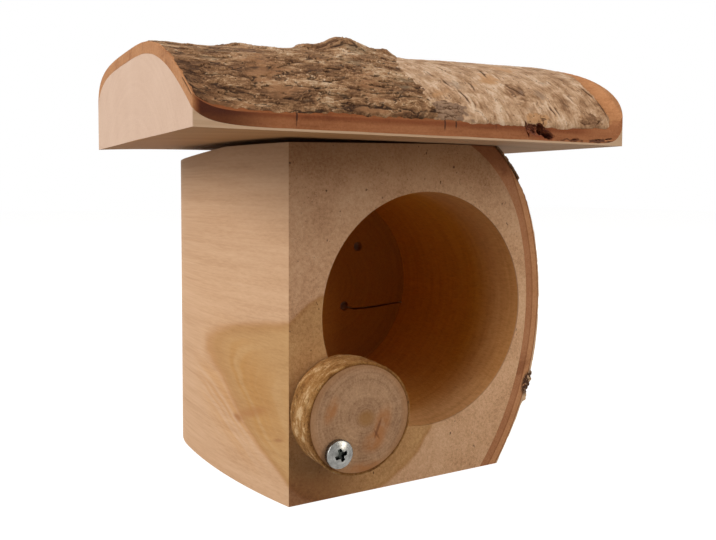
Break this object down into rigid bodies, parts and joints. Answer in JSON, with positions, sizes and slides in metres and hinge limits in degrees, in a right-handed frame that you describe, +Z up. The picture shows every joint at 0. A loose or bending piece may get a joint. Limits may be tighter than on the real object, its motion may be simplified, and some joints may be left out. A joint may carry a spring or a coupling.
{
  "type": "log block bird feeder for a feed jar",
  "caption": "Bird feeder made from a log: a block bored to take a feed jar on its side, under a bark-covered roof slab, with a branch-slice stop that turns on a screw.",
  "frame": {"origin": "on the sawn base, straight below the axis of the jar bore and halfway through the block's depth", "axes": "+Z up, the open front faces -Y, +X to the right as seen from the front"},
  "size_m": [0.1632, 0.1371, 0.1664],
  "materials": {
    "sawn_wood": "sanded, untreated, tan end grain and sides",
    "roof_wood": "fresh sawn, pale pinkish",
    "disc_wood": "sawn end grain with fine rings",
    "inner_bark": "orange brown inner bark",
    "outer_bark": "thin brown bark with pale flakes",
    "rough_bark": "rough grey brown plates",
    "smooth_bark": "smoother tan bark with grey patches",
    "zinc": "zinc plated"
  },
  "bodies": {
    "block": {"block_wood": "sawn_wood", "block_inner_bark": "inner_bark", "block_outer_bark": "outer_bark", "block_rough_bark": "rough_bark", "roof_wood": "roof_wood", "roof_inner_bark": "inner_bark", "roof_rough_bark": "rough_bark", "roof_smooth_bark": "smooth_bark", "roof_screw_left": "zinc", "roof_screw_right": "zinc", "disc_screw": "zinc"},
    "disc": {"disc_wood": "disc_wood", "disc_bark": "outer_bark"}
  },
  "joints": [
    {"name": "disc_turn", "type": "hinge", "parent": "block", "child": "disc", "pos_m": [-0.0453, -0.05875, 0.0215], "axis": [0, -1, 0], "continuous": true}
  ]
}
